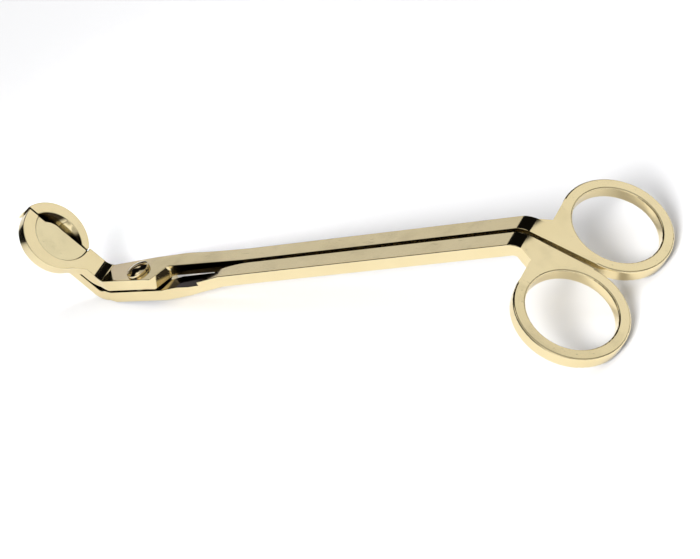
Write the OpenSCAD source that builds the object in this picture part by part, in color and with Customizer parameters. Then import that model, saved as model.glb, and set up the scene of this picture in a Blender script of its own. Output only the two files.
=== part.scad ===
// Wick trimmer: two crossed levers cut and bent from one thickness of plate.
// The tray lever lies on top at the pivot and ends in a round dish that holds the
// catch tray. The blade lever passes beneath it and ends in a crescent blade, whose
// hollow-ground bevel dives under the straight edge of the tray.
//
// The levers are drawn in the frame of the shaft: X runs from the neck bend (0) to
// the handle bend (shaft_l), Z = 0 is the top face of the two bars, and the tray
// lever is on the +Y side. stand() then turns the whole tool so that it lies at rest
// on Z = 0, as it does on a table, with X = 0 at the middle of its length.

/* [Levers] */
// Thickness of the plate that both levers are cut from
plate_t = 3.4; // [2.6:0.1:4]
// Length of the shaft, from the neck bend to the handle bend
shaft_l = 135; // [115:1:160]
// Width of each bar
bar_w = 4.7; // [3.8:0.1:5.6]
// Gap between the two bars when the trimmer is shut
bar_gap = 1.2; // [0.8:0.1:2]

/* [Handles] */
// Angle at which the handles bend down from the shaft
handle_angle = 43.5; // [30:0.5:55]
// Radius on the inside of the handle bend
handle_bend_r = 2.4; // [1.5:0.1:4]
// Radius of each finger hole
finger_r = 11.1; // [9.5:0.1:12.5]
// Width of the metal round each finger hole
ring_w = 3; // [2.2:0.1:4]
// Distance from the handle bend to the middle of the finger holes
ring_x = 19.3; // [18:0.1:24]
// Gap between the two rings when the trimmer is shut
ring_gap = 1.6; // [1.2:0.1:3]
// Rounding of the rims of the rings
ring_edge_r = 0.45; // [0.2:0.05:0.8]
// How far the root of each handle spreads beyond its bar
flare_w = 1.8; // [1:0.1:3]

/* [Neck] */
// Angle at which the neck bends up from the shaft
neck_angle = 64.3; // [50:0.5:72]
// Distance from the middle line to the necks' edge on the tray's side
neck_near = 2.1; // [1.8:0.05:3]
// Distance from the middle line to the necks' edge on the blade's side
neck_far = 4; // [3:0.05:4.1]
// Distance from the neck bend to the end of the neck
neck_l = 8.1; // [7.6:0.05:8.3]
// Distance before and behind the neck bend over which the neck widens into the lap
neck_blend = 1.5; // [1:0.1:2.5]
// Radius on the inside of the tray lever's neck bend
neck_bend_r = 3.4; // [1.5:0.1:4]
// Radius on the inside of the blade lever's neck bend
blade_bend_r = 1.4; // [1:0.1:2]
// Radius on the outside of the blade lever's neck bend
heel_r = 4.8; // [4:0.1:6]
// Thickness of the blade lever's neck, ground thinner than the plate
blade_neck_t = 2.6; // [2.2:0.1:3.2]

/* [Lap joint] */
// Rise of the tray lever over the bars where it crosses the blade lever
lap_rise = 1.05; // [0.6:0.05:1.4]
// Distance from the neck bend to the pivot
pivot_x = 13; // [12:0.1:16]
// Offset of the pivot to the side of the blade lever
pivot_off = 0.4; // [0:0.1:0.6]
// Distance from the neck bend to the end of the tray lever's flat lap
lap_l = 16.4; // [15:0.1:18]
// Distance from the neck bend to the end of the blade lever's flat lap
blade_lap_l = 21; // [20.5:0.1:23]
// Half of the lap's width where the neck ends
lap_half_w = 3.2; // [3:0.05:3.6]
// Extra width of the tray lever's lap on its outer side
lap_extra = 0.55; // [0:0.05:0.8]
// Angle at which each side of the lap spreads towards the bars
lap_taper = 4.3; // [3:0.1:6]
// Distance from the neck bend to where the tray lever is down at the bars
tray_ramp_x = 48; // [40:1:60]
// Distance from the neck bend to where the blade lever is up at the bars
blade_ramp_x = 43; // [40:1:60]
// Distance from the neck bend to the corner where the lap's inner edge ends
throat_foot_x = 19.4; // [18.5:0.1:20]
// Rounding of that corner
throat_foot_r = 0.8; // [0.4:0.1:1.2]
// Distance from the neck bend to the corner where the throat meets the bar
throat_x = 22.4; // [21.5:0.1:23.5]
// Radius of the throat in that corner
throat_r = 1.2; // [0.6:0.1:1.8]
// How far each bar swells outwards where its lap ends
swell = 0.3; // [0.1:0.01:0.6]
// Distance from the neck bend to the top of that swelling
swell_x = 25.5; // [24:0.5:28]
// Radius of that swelling
swell_r = 120; // [100:5:250]
// Distance from the neck bend to the pointed end of the leaf-shaped recess
leaf_x = 51; // [48:0.5:52]
// Depth of the recess below the bars' top
leaf_depth = 2.1; // [1.8:0.05:2.4]
// Radius of the recess's curve in the blade lever
leaf_r = 27; // [25:1:36]
// Slope of the curve where it becomes straight
leaf_slope = 31; // [26:1:34]
// Slope of the recess where it leaves the blade lever's outer side
leaf_end_slope = 22; // [14:0.5:24]

/* [Head] */
// Distance from the neck bend to the middle of the dish's outline
head_x = 17.2; // [16.4:0.1:18]
// Radius of the dish's outline
head_r = 10.15; // [9.6:0.05:10.6]
// How far the middle of the dish's outline lies past the head's middle line
half_shift = 1; // [0.6:0.05:1.2]
// Distance from the neck bend to where the dish's outline leaves the neck
web_x = 5.4; // [4.6:0.1:6]
// Angle between the neck and the edge that runs from it to the dish's outline
web_angle = 38; // [35:1:42]
// Radius of the pocket for the catch tray
pocket_r = 8; // [7:0.05:8.3]
// Pocket's middle, measured from the middle of the head towards the neck
pocket_back = 0.85; // [0.4:0.05:1.3]
// Pocket's middle, measured from the middle line towards the blade
pocket_side = 2.3; // [1.5:0.1:3]
// Where the tray's edge lies past the middle line
edge_y = 2.85; // [2:0.05:3]
// Where the tray's side of the head ends at the tip
tip_y = 1.55; // [0.8:0.05:1.7]
// Distance from the middle of the head to where the tray's edge curves down
shoulder_x = 1.2; // [0.8:0.1:1.6]
// Radius of that curve
shoulder_r = 5.2; // [4.4:0.1:6]

/* [Catch tray] */
// Thickness of the catch tray
tray_t = 1; // [0.6:0.1:1.4]
// Depth of the tray's top below the rim
tray_drop = 0.4; // [0.2:0.05:0.8]
// How far the tray's edge stands past the dish
tray_lip = 0.2; // [0.1:0.05:0.3]

/* [Blade] */
// Distance from the neck bend to the middle of the crescent's outline
crescent_x = 17.7; // [17:0.1:18.2]
// Radius of the crescent's outline
crescent_r = 10.6; // [10:0.05:11]
// Middle of that outline, measured from the middle line towards the tray
crescent_side = 1.15; // [0.6:0.05:1.6]
// Radius of the bevel's upper edge
bevel_r = 8.6; // [7.8:0.05:8.9]
// Middle of the bevel, measured from the middle line towards the tray
bevel_side = 2.1; // [1.6:0.1:2.8]
// Radius of the hollow grind
grind_r = 9.7; // [9.3:0.05:12]
// Where the cutting edge lies past the middle line when shut
blade_y = 0.5; // [0:0.1:1.2]
// Relief angle below the cutting edge
relief_angle = 35; // [15:1:45]

/* [Pivot] */
// Radius of the screw's shank
shank_r = 1.75; // [1.4:0.05:2]
// Radius of the screw's head
screw_head_r = 3.25; // [2.8:0.05:3.5]
// Height of the rim of the screw's head
screw_rim_h = 0.9; // [0.4:0.05:1.1]
// Height of the dome on the screw's head
screw_dome_h = 0.8; // [0.4:0.05:1]
// Width of the screw's slot
slot_w = 0.9; // [0.6:0.05:1.2]
// Depth of the screw's slot
slot_d = 0.7; // [0.4:0.05:1]
// Direction of the slot from the shaft
slot_turn = 35; // [0:1:180]
// Radius of the washer between the levers
washer_r = 3.5; // [3:0.1:3.9]
// Thickness of the washer between the levers
washer_t = 0.6; // [0.4:0.05:0.8]
// Width of the nut across its flats
nut_w = 4.8; // [4.6:0.1:6.5]
// Height of the nut
nut_h = 0.8; // [0.6:0.05:1.4]

/* [Clearances] */
// Running clearance of a hole round the screw's shank
shank_gap = 0.05; // [0.02:0.01:0.1]
// Clearance of the tray in its pocket
pocket_gap = 0.04; // [0.02:0.01:0.1]
// Clearance between the crescent's wall and the tray's side of the head
blade_gap = 0.3; // [0.2:0.05:0.5]
// Length beside the neck over which the blade stays low
swing_room = 1.6; // [1.2:0.1:3]
// Clearance of the blade where it shears past the underside of the tray's side
shear_gap = 0.25; // [0.2:0.05:0.5]

/* [Hidden] */
$fn = 128;

reach = 300;   // longer than the tool, for cutting
eps = 0.01;    // overlap of cutters past the face that they cut
bite = 0.1;    // how far joined shapes run into each other
over = 1;      // how far shapes go on past where they are cut

bar_in = bar_gap / 2;
bar_out = bar_in + bar_w;
ring_out_r = finger_r + ring_w;
ring_y = ring_out_r + ring_gap / 2;
handle_out_r = handle_bend_r + plate_t;
flare_x = ring_x - ring_out_r + 1.5 * bite;

// Heights of the two levers in the lap, and of the necks from the head's top face
tray_top = lap_rise;
blade_top = tray_top - plate_t - washer_t;
blade_neck_top = -plate_t - washer_t;
land_top = -plate_t - shear_gap;
nut_low = blade_top - plate_t - nut_h;

// Crossing in the XZ plane of a level face at z and a neck face at height n
function neck_corner(z, n) = [(n - z * cos(neck_angle)) / sin(neck_angle), z];
// Point in the XZ plane of the neck at distance s from the bend and height n
function neck_point(s, n) = [
    n * sin(neck_angle) - s * cos(neck_angle), n * cos(neck_angle) + s * sin(neck_angle)
];
// Point in the XZ plane of the handle at distance s from the bend and height n
function handle_point(s, n) = [
    shaft_l + s * cos(handle_angle) + n * sin(handle_angle),
    n * cos(handle_angle) - s * sin(handle_angle)
];
function unit(v) = v / norm(v);
// Middle of an arc of radius r that rounds the corner at b between a and c; the arc crosses
// both sides at a very small angle, as a side that it only touched would leave slivers
function arc_middle(a, b, c, r) =
    let (u = unit(a - b), v = unit(c - b), w = unit(u + v))
    b + w * (r - eps) / norm(cross([u.x, u.y, 0], [w.x, w.y, 0]));
// What lies between that corner and its arc, and a little past the corner
module corner_piece(a, b, c, r) {
    m = arc_middle(a, b, c, r);
    u = unit(a - b);
    v = unit(c - b);
    difference() {
        polygon([b + (b - m) / 4, b + u * ((m - b) * u), b + v * ((m - b) * v)]);
        translate(m) circle(r);
    }
}

// How the tool lies: its heel and the far ends of its rings touch the table
blade_low = blade_neck_top - blade_neck_t;
blade_mid = blade_neck_top - blade_neck_t / 2;
heel = arc_middle(neck_point(reach, blade_low), neck_corner(blade_top - plate_t, blade_low),
    [reach, blade_top - plate_t], heel_r);
rim_low = handle_point(ring_x + ring_out_r - ring_edge_r, ring_edge_r - plate_t);
rim_top = handle_point(ring_x + ring_out_r - ring_edge_r, -ring_edge_r);
span = rim_low - heel;
rest_tilt = -atan2(span.y, span.x) - asin((heel_r - ring_edge_r) / norm(span));
rest_z = heel_r - stood_z(heel);
tip_low_y = blade_y + (land_top - blade_low) * tan(relief_angle);
tip_low = neck_point(crescent_x + sqrt(crescent_r ^ 2 - (tip_low_y + crescent_side) ^ 2), blade_low);
rest_x = -(stood_x(tip_low) + stood_x(rim_top) + ring_edge_r) / 2;
function stood_x(p) = p.x * cos(rest_tilt) - p.y * sin(rest_tilt);
function stood_z(p) = p.x * sin(rest_tilt) + p.y * cos(rest_tilt);

module stand() translate([rest_x, 0, rest_z]) rotate([0, -rest_tilt, 0]) children();
module on_handle() translate([shaft_l, 0, 0]) rotate([0, handle_angle, 0]) children();
module on_head() rotate([0, neck_angle, 0]) children();
module at_pivot() translate([pivot_x, -pivot_off, 0]) children();

// A side profile drawn in the XZ plane, as wide as both levers
module across() rotate([90, 0, 0]) linear_extrude(2 * reach, center = true) children();
// A plan drawn in the XY plane, cut through everything
module through() linear_extrude(2 * reach, center = true) children();

// Rounds a corner that sticks out of its children
module round_off(a, b, c, r) difference() {
    children();
    corner_piece(a, b, c, r);
}

// Fills a corner that goes into its children with an arc
module fill_in(a, b, c, r) {
    children();
    corner_piece(a, b, c, r);
}

// Side of a lever: head and neck, neck bend, flat lap, ramp, bar and handle bend
module lever_side(top, lap_end, ramp_x, neck_top, neck_t, inner_r, outer_r) {
    low = top - plate_t;
    neck_low = neck_top - neck_t;
    far_s = crescent_x + crescent_r + over;
    far_up = neck_point(far_s, neck_top);
    far_down = neck_point(far_s, neck_low);
    valley = neck_corner(top, neck_top);
    heel_corner = neck_corner(low, neck_low);
    crest = handle_point(0, 0);
    fold = handle_corner(-plate_t);
    end_up = handle_point(flare_x, 0);
    end_down = handle_point(flare_x, -plate_t);
    fill_in(far_up, valley, [lap_end, top], inner_r)
        round_off(far_down, heel_corner, [lap_end, low], outer_r)
            fill_in([ramp_x, -plate_t], fold, end_down, handle_bend_r)
                round_off([ramp_x, 0], crest, end_up, handle_out_r)
                    polygon([far_up, valley, [lap_end, top], [ramp_x, 0], crest, end_up,
                        end_down, fold, [ramp_x, -plate_t], [lap_end, low], heel_corner, far_down]);
}
// Crossing in the XZ plane of a level face and a handle face, both at height z
function handle_corner(z) = [shaft_l + z * (1 - cos(handle_angle)) / sin(handle_angle), z];

// Plan of the tray lever from the head to the handle bend
module lever_plan(lap_out, neck_out, neck_in) {
    spread = tan(lap_taper);
    lap_start = [neck_blend, -lap_half_w];
    foot = [throat_foot_x, -lap_half_w - (throat_foot_x - neck_blend) * spread];
    root = [throat_x, bar_in];
    fill_in(foot, root, [reach, bar_in], throat_r)
        round_off(lap_start, foot, root, throat_foot_r)
            intersection() {
                polygon([
                    [-reach, neck_out], [-neck_blend, neck_out], [neck_blend, lap_out],
                    [reach, lap_out + (reach - neck_blend) * spread], [reach, bar_in],
                    root, foot, lap_start, [-neck_blend, -neck_in], [-reach, -neck_in]
                ]);
                union() {
                    translate([-reach, -reach]) square([reach + swell_x, 2 * reach]);
                    translate([swell_x, bar_out + swell - swell_r]) circle(swell_r, $fn = 720);
                    translate([0, -reach]) square([reach, reach + bar_out]);
                }
            }
}

// Half of the handle: a flared root and a ring, both flush with the plate's faces
module handle() {
    root_x = handle_out_r * tan(handle_angle / 2) - bite;
    on_handle() {
        difference() {
            translate([0, 0, -plate_t]) linear_extrude(plate_t) polygon([
                [root_x, bar_in], [ring_x, (ring_gap + bite) / 2], [ring_x, ring_y],
                [flare_x, ring_y], [flare_x, bar_out + flare_w], [root_x, bar_out]
            ]);
            translate([ring_x, ring_y, -plate_t - over])
                cylinder(r = finger_r + ring_w / 2, h = plate_t + 2 * over);
        }
        translate([ring_x, ring_y, 0]) rotate_extrude() ring_section();
    }
}

// Cross-section of a ring, with its four rims rounded
module ring_section() {
    r = ring_edge_r;
    translate([finger_r, -plate_t]) {
        translate([r, 0]) square([ring_w - 2 * r, plate_t]);
        translate([0, r]) square([ring_w, plate_t - 2 * r]);
        for (x = [r, ring_w - r], y = [r, plate_t - r]) translate([x, y]) circle(r, $fn = 32);
    }
}

// Tray's side of the head; the blade's side stands back from it by gap
module tray_side(gap = 0) {
    translate([-reach, -reach]) square([2 * reach, reach + tip_y + gap]);
    translate([-head_x - shoulder_x, -reach]) square([reach, reach + edge_y + gap]);
    translate([-head_x - shoulder_x, edge_y + bite - shoulder_r]) circle(shoulder_r + gap);
}

// What the crescent keeps clear of: the tray's side and the tray lever's neck
module blade_keep_out() {
    tray_side(blade_gap);
    translate([-neck_l - blade_gap, -reach]) square([reach, reach + neck_far + blade_gap]);
}

module tray_outline() {
    web_start = [-web_x, -neck_near];
    way = [cos(web_angle), sin(web_angle)];
    dish();
    polygon([web_start + bite * way, web_start - head_r * way / 2, [-head_x, 0], [-web_x, 0]]);
}
module dish() translate([-head_x, half_shift]) circle(head_r);
module pocket(r) translate([-head_x + pocket_back, pocket_side]) circle(r);

// Everything on the neck's side of the line where the head begins
module below_head() on_head() translate([-neck_l, -reach, -reach]) cube(2 * reach);

module tray_lever() color([0.84, 0.76, 0.52]) stand() {
    difference() {
        intersection() {
            across() lever_side(tray_top, lap_l, tray_ramp_x, 0, plate_t, neck_bend_r,
                neck_bend_r + plate_t);
            union() {
                intersection() {
                    through() lever_plan(lap_half_w + lap_extra, neck_far, neck_near);
                    below_head();
                }
                on_head() through() intersection() {
                    tray_outline();
                    tray_side();
                }
            }
        }
        on_head() translate([0, 0, -tray_drop - tray_t]) linear_extrude(plate_t) pocket(pocket_r);
        at_pivot() cylinder(r = shank_r + shank_gap, h = reach, center = true);
    }
    handle();
}

module catch_tray() color([0.86, 0.79, 0.56]) stand() on_head()
    translate([0, 0, -tray_drop - tray_t]) linear_extrude(tray_t) intersection() {
        pocket(pocket_r - pocket_gap);
        translate([0, tray_lip]) tray_side();
    }

module blade_lever() color([0.82, 0.74, 0.5]) stand() {
    difference() {
        union() {
            intersection() {
                across() lever_side(blade_top, blade_lap_l, blade_ramp_x, blade_neck_top,
                    blade_neck_t, blade_bend_r, heel_r);
                union() {
                    intersection() {
                        through() mirror([0, 1]) lever_plan(lap_half_w, neck_near, neck_far);
                        below_head();
                    }
                    on_head() through() blade_half();
                }
            }
            on_head() translate([0, 0, blade_mid]) {
                linear_extrude(-blade_mid) difference() {
                    blade_half();
                    blade_keep_out();
                }
                linear_extrude(land_top - blade_mid) intersection() {
                    blade_half();
                    translate([-neck_l - swing_room - reach, 0]) square([reach, reach]);
                }
            }
        }
        blade_grind();
        leaf_step();
        at_pivot() cylinder(r = shank_r + shank_gap, h = reach, center = true);
    }
    mirror([0, 1, 0]) handle();
}

// Plan of the blade's half of the head, out to its cutting edge below the dish
module blade_half() intersection() {
    translate([-crescent_x, -crescent_side]) circle(crescent_r);
    union() {
        translate([-reach, tip_y]) square([reach, reach]);
        intersection() {
            dish();
            translate([-reach, blade_y]) square([reach, reach]);
        }
    }
}

// Hollow grind of the crescent down to the land, and the relief under the cutting edge
module blade_grind() on_head() {
    intersection() {
        translate([-head_x, -bevel_side, sqrt(grind_r * grind_r - bevel_r * bevel_r)]) sphere(grind_r);
        translate([-reach, -reach, land_top]) cube([2 * reach, 2 * reach, reach]);
    }
    translate([-head_x - head_r, blade_y, land_top]) rotate([relief_angle, 0, 0])
        translate([0, -reach, -reach])
            cube([head_x + head_r - neck_l - swing_room / 2, reach, reach]);
}

// Leaf-shaped recess in the blade lever, where the tray lever's lap comes down to its bar
module leaf_step() {
    middle = [leaf_x, -bar_in - leaf_r];
    touch = middle + leaf_r * [-sin(leaf_slope), cos(leaf_slope)];
    way = [cos(leaf_end_slope), sin(leaf_end_slope)];
    foot = touch - reach * way;
    translate([0, 0, -leaf_depth]) linear_extrude(reach) difference() {
        translate([lap_l, -reach]) square([leaf_x - lap_l, 2 * reach]);
        polygon([touch + way, foot, [reach, foot.y], [reach, middle.y], middle]);
        translate(middle) circle(leaf_r, $fn = 360);
    }
}

module pivot_screw() color([0.8, 0.72, 0.48]) stand() at_pivot() {
    dome_r = (screw_head_r * screw_head_r + screw_dome_h * screw_dome_h) / (2 * screw_dome_h);
    translate([0, 0, nut_low]) cylinder(r = shank_r, h = tray_top - nut_low + eps);
    difference() {
        translate([0, 0, tray_top]) intersection() {
            cylinder(r = screw_head_r, h = screw_rim_h + screw_dome_h);
            translate([0, 0, screw_rim_h + screw_dome_h - dome_r]) sphere(dome_r);
        }
        translate([0, 0, tray_top + screw_rim_h + screw_dome_h - slot_d]) rotate([0, 0, slot_turn])
            translate([-screw_head_r - over, -slot_w / 2, 0])
                cube([2 * (screw_head_r + over), slot_w, slot_d + over]);
    }
}

module pivot_washer() color([0.75, 0.7, 0.5]) stand() at_pivot() translate([0, 0, blade_top])
    difference() {
        cylinder(r = washer_r, h = washer_t);
        translate([0, 0, -over]) cylinder(r = shank_r + shank_gap, h = washer_t + 2 * over);
    }

module pivot_nut() color([0.8, 0.72, 0.48]) stand() at_pivot() translate([0, 0, nut_low])
    difference() {
        cylinder(r = nut_w / sqrt(3), h = nut_h, $fn = 6);
        translate([0, 0, -over]) cylinder(r = shank_r + shank_gap, h = nut_h + 2 * over);
    }

tray_lever();
catch_tray();
blade_lever();
pivot_screw();
pivot_washer();
pivot_nut();
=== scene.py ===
"""The looks of the wick trimmer: a pale gold plated finish on every part, with eased edges,
on a plain white table in a dark studio with soft panels. Lengths are in metres."""

import math

import bpy
from mathutils import Matrix, Vector


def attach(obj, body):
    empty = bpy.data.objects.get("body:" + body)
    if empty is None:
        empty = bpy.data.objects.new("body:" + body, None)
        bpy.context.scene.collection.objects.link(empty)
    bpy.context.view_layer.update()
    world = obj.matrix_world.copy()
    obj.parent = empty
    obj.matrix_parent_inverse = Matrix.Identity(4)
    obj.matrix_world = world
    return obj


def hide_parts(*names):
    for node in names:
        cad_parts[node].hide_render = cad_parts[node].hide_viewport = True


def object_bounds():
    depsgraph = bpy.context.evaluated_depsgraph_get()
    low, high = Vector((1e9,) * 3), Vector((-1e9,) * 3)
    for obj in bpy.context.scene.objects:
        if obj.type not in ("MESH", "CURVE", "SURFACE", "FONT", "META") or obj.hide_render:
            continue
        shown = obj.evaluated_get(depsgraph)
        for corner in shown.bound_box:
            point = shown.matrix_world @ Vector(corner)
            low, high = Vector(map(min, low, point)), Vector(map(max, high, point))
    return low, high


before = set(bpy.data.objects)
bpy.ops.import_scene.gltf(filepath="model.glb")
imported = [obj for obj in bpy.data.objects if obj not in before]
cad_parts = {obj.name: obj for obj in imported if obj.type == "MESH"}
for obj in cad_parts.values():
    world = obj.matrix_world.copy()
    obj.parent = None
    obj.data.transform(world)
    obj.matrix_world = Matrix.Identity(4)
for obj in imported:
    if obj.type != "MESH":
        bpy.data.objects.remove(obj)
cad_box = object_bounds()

MM = 0.001

# The finger rings' rims are round in the solids, so edges are eased only short of here.
RINGS_FROM = cad_box[1].x - 25.5 * MM

# How a copied part is cleaned, eased and shaded.
MERGE_DISTANCE = 0.002 * MM
FLAT_ANGLE = math.radians(0.4)
SHARP_ANGLE = math.radians(50)
SMOOTH_ANGLE = math.radians(40)
FLAT_WEIGHT = 80

# Where shade is painted on. Each pair is a soft limit: where a zone starts, and where it is whole.
FACES_FRONT = (0.3, 0.5)
FACES_UP = (0.8, 0.9)
BACK_HALF = (0, 0.2 * MM)
CRESCENT_FOOT = (16.8 * MM, 18.2 * MM)
CRESCENT_TOP = (20.8 * MM, 22.4 * MM)
HEAD_START = (75 * MM, 76 * MM)
HEAD_END = (87.4 * MM, 88.2 * MM)
THROAT_END = (-47 * MM, -45.5 * MM)
GAP_FADE = (18 * MM, 24 * MM)
LEAF_FADE = (31 * MM, 34.5 * MM)
GAP_WALL = 1.2 * MM
LEAF_FLOOR = 9.6 * MM
NARROW_REACH = 4 * MM
NARROW = (0.15, 0.6)

# Painted shade: the near-black colour laid on listed zones and narrow places, standing in for shade
# and dark reflections.
PAINTED_SHADE = (0.03, 0.022, 0.012, 1)
WHITE = (1, 1, 1, 1)
SHAFT_GREY = (0.97, 0.97, 1.0, 1)
LAP_GREY = (0.89, 0.86, 1.0, 1)

# The studio's own numbers: its faint glow, the softness of a panel's near and far ends, the
# depth that a slanted panel turns about, and the turns where the lap's grey becomes the shaft's.
STUDIO_GLOW = 0.004
END_BLUR = 0.05
SLANT_DEPTH = 0.6
GREY_CHANGE = (math.radians(-65), math.radians(-62.5))


class Signal:
    """What one socket of a node gives. Sums on it add Math nodes, and add() makes any other node."""

    def __init__(self, socket):
        self.socket = socket

    @classmethod
    def add(cls, tree, kind, inputs, output=0, **settings):
        node = tree.nodes.new(kind)
        for name, value in settings.items():
            setattr(node, name, value)
        for name, value in inputs.items():
            if isinstance(value, cls):
                tree.links.new(value.socket, node.inputs[name])
            else:
                node.inputs[name].default_value = value
        return cls(node.outputs[output])

    def maths(self, operation, first, second):
        tree = self.socket.id_data
        return Signal.add(tree, "ShaderNodeMath", {0: first, 1: second}, operation=operation)

    def __add__(self, other):
        return self.maths("ADD", self, other)

    def __radd__(self, other):
        return self.maths("ADD", other, self)

    def __sub__(self, other):
        return self.maths("SUBTRACT", self, other)

    def __rsub__(self, other):
        return self.maths("SUBTRACT", other, self)

    def __mul__(self, other):
        return self.maths("MULTIPLY", self, other)

    def __rmul__(self, other):
        return self.maths("MULTIPLY", other, self)


def grain(tree, place, scale, detail):
    """A soft noise from 0 to 1, at a number of patches per metre."""
    return Signal.add(
        tree,
        "ShaderNodeTexNoise",
        {"Vector": place, "Scale": scale, "Detail": detail, "Roughness": 0.55},
    )


def band(tree, value, low, high):
    """0 below low and 1 above high, with a smooth change between them."""
    return Signal.add(
        tree,
        "ShaderNodeMapRange",
        {"Value": value, "From Min": low, "From Max": high, "To Min": 0.0, "To Max": 1.0},
        interpolation_type="SMOOTHSTEP",
    )


def mixed(tree, factor, first, second):
    """The first colour where the factor is 0, and the second where it is 1."""
    inputs = {"Factor": factor, 6: first, 7: second}
    return Signal.add(tree, "ShaderNodeMix", inputs, output=2, data_type="RGBA")


def axis_of(tree, vector, axis):
    """One part of a vector: X, Y or Z."""
    return Signal.add(tree, "ShaderNodeSeparateXYZ", {"Vector": vector}, output=axis)


def painted_shade_zones(tree, place):
    """1 where shade is painted on, standing in for dark reflections and shade: at both ends of the
    cutting crescent's bevel, on the wall of the gap between the bars, and on the floor of the
    leaf-shaped recess."""
    across, aside, height = (axis_of(tree, place, axis) for axis in "XYZ")
    normal = Signal.add(tree, "ShaderNodeTexCoord", {}, "Normal")
    faces_front = band(tree, 0 - axis_of(tree, normal, "Y"), *FACES_FRONT)
    front_side = faces_front * band(tree, aside, *BACK_HALF)
    top_side = band(tree, axis_of(tree, normal, "Z"), *FACES_UP)

    below_middle = band(tree, height, *CRESCENT_FOOT)
    past_middle = 1 + band(tree, height, *CRESCENT_TOP) - below_middle
    inward = band(tree, 0 - across, *HEAD_START) - band(tree, 0 - across, *HEAD_END)
    at_head = inward * past_middle

    past_throat = band(tree, across, *THROAT_END)
    along_gap = past_throat * band(tree, 0 - across, *GAP_FADE)
    at_gap = along_gap * band(tree, GAP_WALL - aside, 0, 0.2 * MM)
    along_leaf = past_throat * band(tree, 0 - across, *LEAF_FADE)
    at_leaf = along_leaf * band(tree, LEAF_FLOOR - height, 0, 0.4 * MM)
    return front_side * (at_head + at_gap) + top_side * at_leaf


def plated(name, pale, deep, gloss):
    """Polished plating: a mirror with faint clouds of colour, polishing lines and a few fine
    scratches, with painted shade in narrow places and in a few listed zones."""
    material = bpy.data.materials.new(name)
    material.use_nodes = True
    tree = material.node_tree
    tree.nodes.clear()
    place = Signal.add(tree, "ShaderNodeTexCoord", {}, "Object")
    along = Signal.add(tree, "ShaderNodeMapping", {"Vector": place, "Scale": (0.06, 1.0, 1.0)})
    clouds = grain(tree, place, scale=55.0, detail=3.0)
    smudges = grain(tree, place, scale=160.0, detail=4.0)
    lines = grain(tree, along, scale=5200.0, detail=2.0)
    hairs = band(tree, grain(tree, along, scale=1500.0, detail=1.0), 0.71, 0.76)

    clean = mixed(tree, band(tree, clouds, 0.3, 0.7), pale, deep)
    # Painted shade: the listed zones are darkened to a near-black colour, standing in for dark
    # reflections and shade.
    painted_shaded = mixed(tree, painted_shade_zones(tree, place), clean, PAINTED_SHADE)
    # Painted shade: an occlusion node darkens narrow gaps, grooves and hollows to the same
    # near-black colour.
    reach = {"Distance": NARROW_REACH}
    openness_for_painted_shade = Signal.add(tree, "ShaderNodeAmbientOcclusion", reach, output="AO", samples=8)
    shade = mixed(tree, band(tree, openness_for_painted_shade, *NARROW), PAINTED_SHADE, painted_shaded)

    roughness = gloss + 0.05 * band(tree, smudges, 0.45, 0.75) + 0.03 * lines + 0.08 * hairs
    relief = 0.6 * lines + 0.4 * smudges - 0.8 * hairs
    bump = Signal.add(
        tree, "ShaderNodeBump", {"Height": relief, "Strength": 0.05, "Distance": 0.02 * MM}
    )
    surface = Signal.add(
        tree,
        "ShaderNodeBsdfPrincipled",
        {"Base Color": shade, "Metallic": 1.0, "Roughness": roughness, "Normal": bump},
    )
    out = tree.nodes.new("ShaderNodeOutputMaterial")
    tree.links.new(surface.socket, out.inputs["Surface"])
    return material


def pick_only(thing):
    bpy.ops.object.select_all(action="DESELECT")
    thing.select_set(True)
    bpy.context.view_layer.objects.active = thing


def dressed(node, body, finish, edge, steps):
    """A copy of a CAD node with its sharp edges eased, which stands for it."""
    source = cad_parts[node]
    mesh = source.data.copy()
    mesh.name = node + "_dressed"
    piece = bpy.data.objects.new(node + "_dressed", mesh)
    bpy.context.scene.collection.objects.link(piece)
    pick_only(piece)
    bpy.ops.object.mode_set(mode="EDIT")
    bpy.ops.mesh.select_mode(type="EDGE")
    bpy.ops.mesh.select_all(action="SELECT")
    bpy.ops.mesh.customdata_custom_splitnormals_clear()
    bpy.ops.mesh.remove_doubles(threshold=MERGE_DISTANCE)
    bpy.ops.mesh.dissolve_limited(angle_limit=FLAT_ANGLE)
    bpy.ops.mesh.select_all(action="DESELECT")
    bpy.ops.mesh.edges_select_sharp(sharpness=SHARP_ANGLE)
    bpy.ops.object.mode_set(mode="OBJECT")
    for item in (*mesh.vertices, *mesh.polygons):
        item.select = False
    for line in mesh.edges:
        ends = [mesh.vertices[end] for end in line.vertices]
        line.select = line.select and max(end.co.x for end in ends) < RINGS_FROM
        for end in ends:
            end.select = end.select or line.select
    bpy.ops.object.mode_set(mode="EDIT")
    bpy.ops.mesh.bevel(offset=edge, segments=steps, affect="EDGES", clamp_overlap=False)
    bpy.ops.object.mode_set(mode="OBJECT")
    bpy.ops.object.shade_smooth_by_angle(angle=SMOOTH_ANGLE)
    level = piece.modifiers.new("level_flats", "WEIGHTED_NORMAL")
    level.weight = FLAT_WEIGHT
    level.keep_sharp = True
    bpy.ops.object.modifier_apply(modifier=level.name)
    piece.data.materials.clear()
    piece.data.materials.append(finish)
    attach(piece, body)
    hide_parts(node)


def table():
    """A wide white table that the trimmer lies on."""
    bpy.ops.object.select_all(action="DESELECT")
    bpy.ops.mesh.primitive_plane_add(size=6.0, location=(0, 0, cad_box[0].z))
    floor = bpy.context.active_object
    floor.name = "white_table"
    paper = bpy.data.materials.new("white_paper")
    paper.use_nodes = True
    shader = paper.node_tree.nodes["Principled BSDF"]
    shader.inputs["Base Color"].default_value = (0.88, 0.88, 0.89, 1)
    shader.inputs["Roughness"].default_value = 0.9
    shader.inputs["Specular IOR Level"].default_value = 0.1
    floor.data.materials.append(paper)


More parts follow.
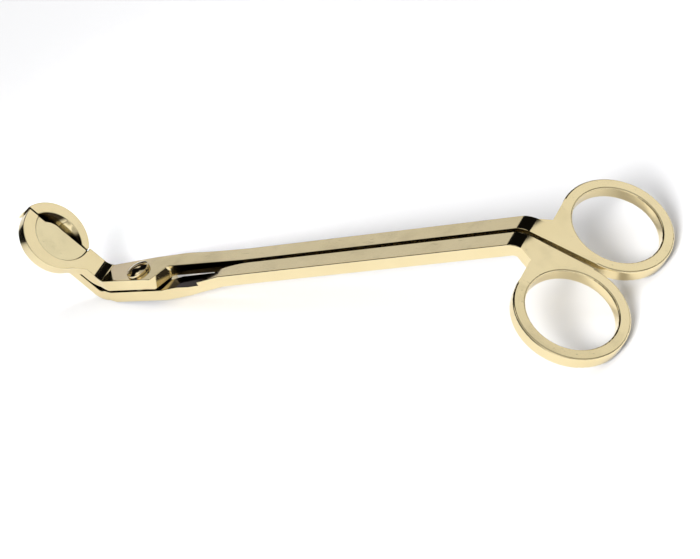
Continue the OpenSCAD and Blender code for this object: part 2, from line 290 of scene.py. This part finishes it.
def studio():
    """A dark studio. Each soft panel or card lies where one family of the trimmer's faces
    mirrors it, such as the flats of the shaft, of the rings or of the head."""
    world = bpy.data.worlds.new("studio")
    bpy.context.scene.world = world
    world.use_nodes = True
    tree = world.node_tree
    tree.nodes.clear()
    direction = Signal.add(tree, "ShaderNodeTexCoord", {}, "Generated")
    sideways, depth, upwards = (axis_of(tree, direction, axis) for axis in "XYZ")
    turn = sideways.maths("ARCTAN2", sideways, upwards)

    def panel(turns, depths, soft, slant=0):
        """1 inside a range of turns about the Y axis, in degrees, and a range of depths. A slanted
        panel turns by its slant over each unit of depth."""
        first, last, blur, lean = (math.radians(v) for v in (*turns, soft, slant))
        near, far = depths
        place = turn - lean * (depth - SLANT_DEPTH)
        across = band(tree, place, first - blur, first) - band(tree, place, last, last + blur)
        past_near = band(tree, depth, near - END_BLUR, near)
        return across * (past_near - band(tree, depth, far, far + END_BLUR))

    shaft_panel = panel(turns=(-66.5, -57), depths=(0.50, 0.76), soft=2, slant=106)
    ring_panel = panel(turns=(29.5, 41), depths=(0.64, 0.80), soft=3)
    head_panel = panel(turns=(58, 68), depths=(0.45, 0.72), soft=3)
    bend_card = panel(turns=(-52, -38), depths=(0.50, 0.57), soft=3)
    screw_card = panel(turns=(-30, -16), depths=(-0.12, 0.12), soft=3)
    front_card = panel(turns=(5, 80), depths=(-0.95, -0.78), soft=5)
    overhead = panel(turns=(-20, 82), depths=(-0.96, 0.28), soft=5)
    back_wall = panel(turns=(-50, 85), depths=(0.85, 0.99), soft=5)
    light = STUDIO_GLOW + 0.72 * shaft_panel + 0.94 * ring_panel + 0.94 * head_panel
    light = light + 0.9 * bend_card + 1.0 * screw_card + 0.6 * front_card
    light = light + 0.55 * overhead + 0.55 * back_wall
    grey = mixed(tree, band(tree, turn, *GREY_CHANGE), LAP_GREY, SHAFT_GREY)
    tint = mixed(tree, shaft_panel, WHITE, grey)
    glow = Signal.add(tree, "ShaderNodeBackground", {"Color": tint, "Strength": light})
    out = tree.nodes.new("ShaderNodeOutputWorld")
    tree.links.new(glow.socket, out.inputs["Surface"])


def soft_box(name, place, aim, size, power, spread=180):
    """A round lamp that isn't mirrored. Its power is in watts and its spread in degrees."""
    bpy.ops.object.select_all(action="DESELECT")
    bpy.ops.object.light_add(type="AREA", location=place)
    lamp = bpy.context.active_object
    lamp.name = name
    lamp.data.shape = "DISK"
    lamp.data.size = size
    lamp.data.energy = power
    lamp.data.spread = math.radians(spread)
    lamp.rotation_euler = (Vector(aim) - Vector(place)).to_track_quat("-Z", "Y").to_euler()
    lamp.visible_glossy = False


def camera(azimuth, elevation, roll, distance, aim, lens):
    """A camera that looks down over the handles' side, azimuth 0 looking along +Y. The lens is
    in millimetres."""
    a, e, r = (math.radians(v) for v in (azimuth, elevation, roll))
    back = Vector((math.sin(a) * math.cos(e), -math.cos(a) * math.cos(e), math.sin(e)))
    level = Vector((math.cos(a), math.sin(a), 0))
    upright = back.cross(level)
    right = level * math.cos(r) + upright * math.sin(r)
    up = back.cross(right)
    bpy.ops.object.camera_add()
    eye = bpy.context.active_object
    eye.name = "studio_camera"
    eye.data.lens = lens
    eye.data.sensor_width = 36
    eye.data.clip_start = 0.01
    turn = Matrix((right, up, back)).transposed().to_4x4()
    eye.matrix_world = Matrix.Translation(Vector(aim) + back * distance) @ turn
    bpy.context.scene.camera = eye


gold = plated(
    "pale_gold_plate", pale=(0.86, 0.73, 0.44, 1), deep=(0.83, 0.70, 0.41, 1), gloss=0.07
)
tray_gold = plated(
    "tray_gold_plate", pale=(0.84, 0.73, 0.45, 1), deep=(0.80, 0.69, 0.42, 1), gloss=0.11
)
dark_gold = plated(
    "screw_gold_plate", pale=(0.80, 0.67, 0.42, 1), deep=(0.74, 0.61, 0.37, 1), gloss=0.06
)
oiled = plated(
    "oiled_washer", pale=(0.12, 0.10, 0.06, 1), deep=(0.09, 0.07, 0.04, 1), gloss=0.2
)

dressed("tray_lever", "tray_side", gold, edge=0.16 * MM, steps=3)
dressed("blade_lever", "blade_side", gold, edge=0.16 * MM, steps=3)
dressed("catch_tray", "tray_side", tray_gold, edge=0.2 * MM, steps=3)
dressed("pivot_screw", "blade_side", dark_gold, edge=0.14 * MM, steps=3)
dressed("pivot_washer", "tray_side", oiled, edge=0.10 * MM, steps=2)
dressed("pivot_nut", "blade_side", dark_gold, edge=0.12 * MM, steps=2)

table()
studio()
soft_box(
    "front_light", place=(0.5, -1.8, 1.25), aim=(0.3, 0.1, 0), size=0.9, power=8.3, spread=60
)
soft_box("back_light", place=(0.2, 0.9, 2.0), aim=(0, 0, 0), size=2.4, power=4.4)
soft_box("top_light", place=(-0.2, 0.0, 1.4), aim=(-0.05, 0, 0), size=3.6, power=10.0)
soft_box(
    "head_fill",
    place=(-0.095, 0.34, 0.4),
    aim=(-0.095, 0.045, 0),
    size=0.1,
    power=0.017,
    spread=14,
)
camera(
    azimuth=41.90,
    elevation=33.76,
    roll=-26.07,
    distance=607.25 * MM,
    aim=(2.28 * MM, 7.03 * MM, 0),
    lens=122.32,
)
bpy.context.scene.view_settings.view_transform = "Standard"
